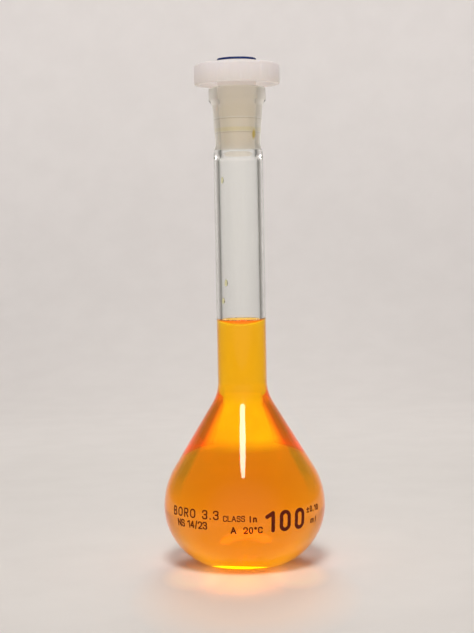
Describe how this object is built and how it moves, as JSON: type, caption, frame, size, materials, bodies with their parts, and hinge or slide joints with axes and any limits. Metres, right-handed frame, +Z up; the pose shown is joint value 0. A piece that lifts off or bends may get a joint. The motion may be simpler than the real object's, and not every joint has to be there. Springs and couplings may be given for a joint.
{
  "type": "volumetric flask",
  "caption": "Volumetric flask: round glass bulb, long narrow neck with a graduation ring, ground socket and beaded rim, orange solution, and a fluted plastic stopper that lifts out.",
  "frame": {"origin": "centre of the foot, on the surface that the flask stands on", "axes": "+Z up along the flask's axis of revolution; the inscriptions face -Y"},
  "size_m": [0.059, 0.0591, 0.184],
  "materials": {
    "glass": "clear borosilicate, fire-polished outside, ground socket inside",
    "stain": "fired brown stain, translucent",
    "enamel": "fired dark red-brown enamel, satin",
    "solution": "clear orange liquid",
    "polyethylene": "natural translucent moulding, satin",
    "blue_disc": "moulded blue, glossy"
  },
  "bodies": {
    "flask": {"flask": "glass", "graduation_ring": "stain", "solution": "solution", "print_capacity": "enamel", "print_unit": "enamel", "print_tolerance": "enamel", "print_basis": "enamel", "print_temperature": "enamel", "print_class": "enamel", "print_class_letter": "enamel", "print_joint": "enamel", "print_glass": "enamel"},
    "stopper": {"stopper": "polyethylene", "stopper_disc": "blue_disc"}
  },
  "joints": [
    {"name": "stopper_lift", "type": "slide", "parent": "flask", "child": "stopper", "axis": [0, 0, 1], "range_m": [0, 0.04]}
  ]
}
